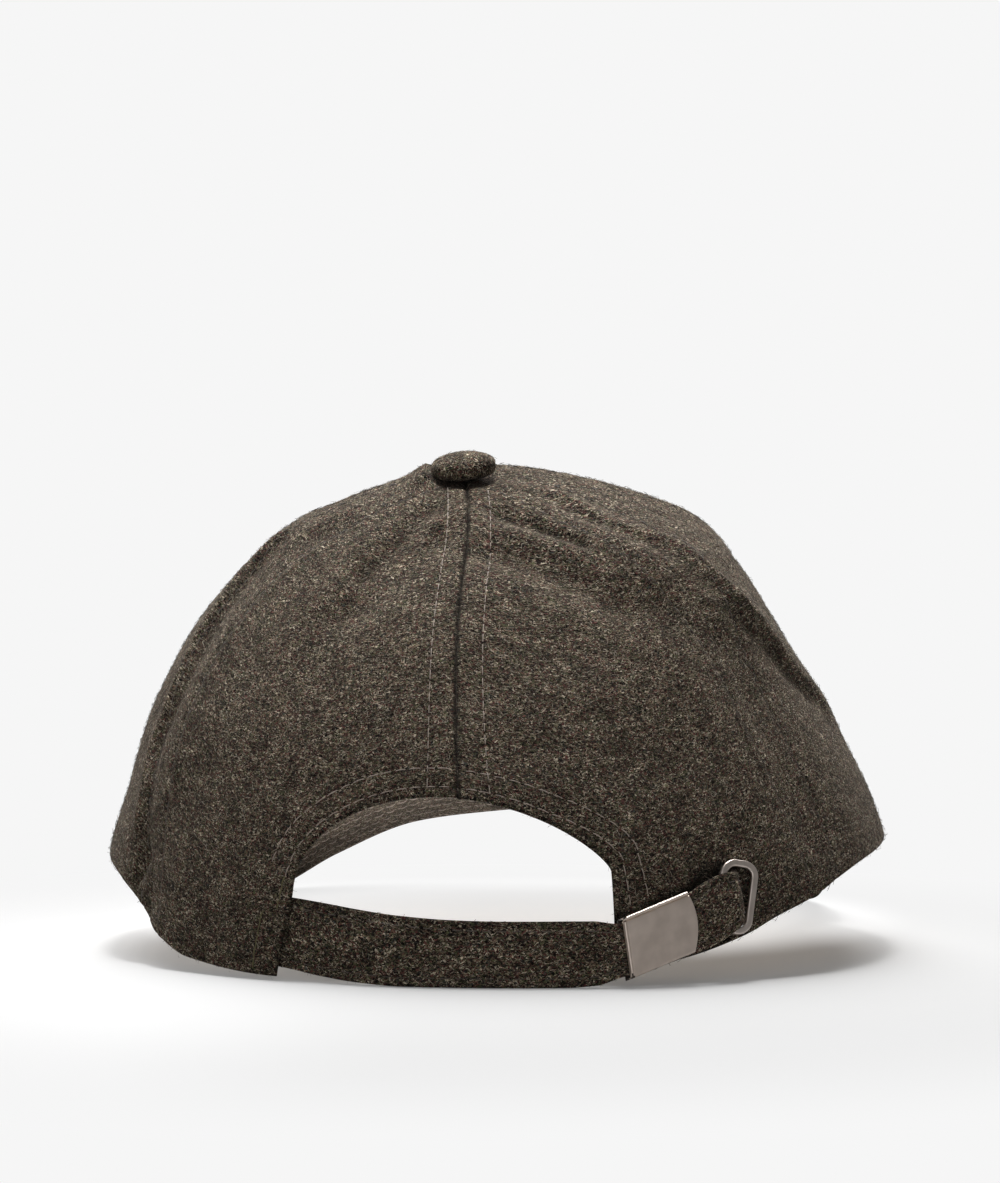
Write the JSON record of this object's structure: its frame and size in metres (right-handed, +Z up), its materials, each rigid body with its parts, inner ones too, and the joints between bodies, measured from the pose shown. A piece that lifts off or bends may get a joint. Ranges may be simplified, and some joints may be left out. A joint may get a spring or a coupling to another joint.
{
  "type": "peaked cap",
  "caption": "Soft six-panel cap in wool flannel with a curved peak, covered top button, arched back opening and an adjustable cloth strap in a flip clasp.",
  "frame": {"origin": "middle of the cap's plan, at the height of the surface that it rests on", "axes": "+Z up, -Y to the front, where the peak is, +X to the wearer's left"},
  "size_m": [0.2074, 0.2542, 0.1321],
  "materials": {
    "flannel": "brushed wool melange, dark olive brown with pale, rust and near-black flecks",
    "flannel_strap": "the same wool cloth, pressed and a little darker",
    "band_cloth": "smooth taupe twill",
    "clasp_metal": "satin warm gunmetal plating",
    "frame_metal": "polished warm gunmetal plating"
  },
  "bodies": {
    "cap": {"panel_back_left": "flannel", "panel_back_right": "flannel", "panel_side_left": "flannel", "panel_side_right": "flannel", "panel_front_left": "flannel", "panel_front_right": "flannel", "top_button": "flannel", "peak": "flannel", "strap": "flannel_strap", "sweatband": "band_cloth", "clasp_base": "clasp_metal", "slot_frame": "frame_metal"},
    "lid": {"clasp_lid": "clasp_metal"}
  },
  "joints": [
    {"name": "clasp_lid_hinge", "type": "hinge", "parent": "cap", "child": "lid", "pos_m": [-0.04045, 0.12258, 0.0101], "axis": [-0.1551, 0.1873, -0.97], "range_deg": [0, 100]}
  ]
}
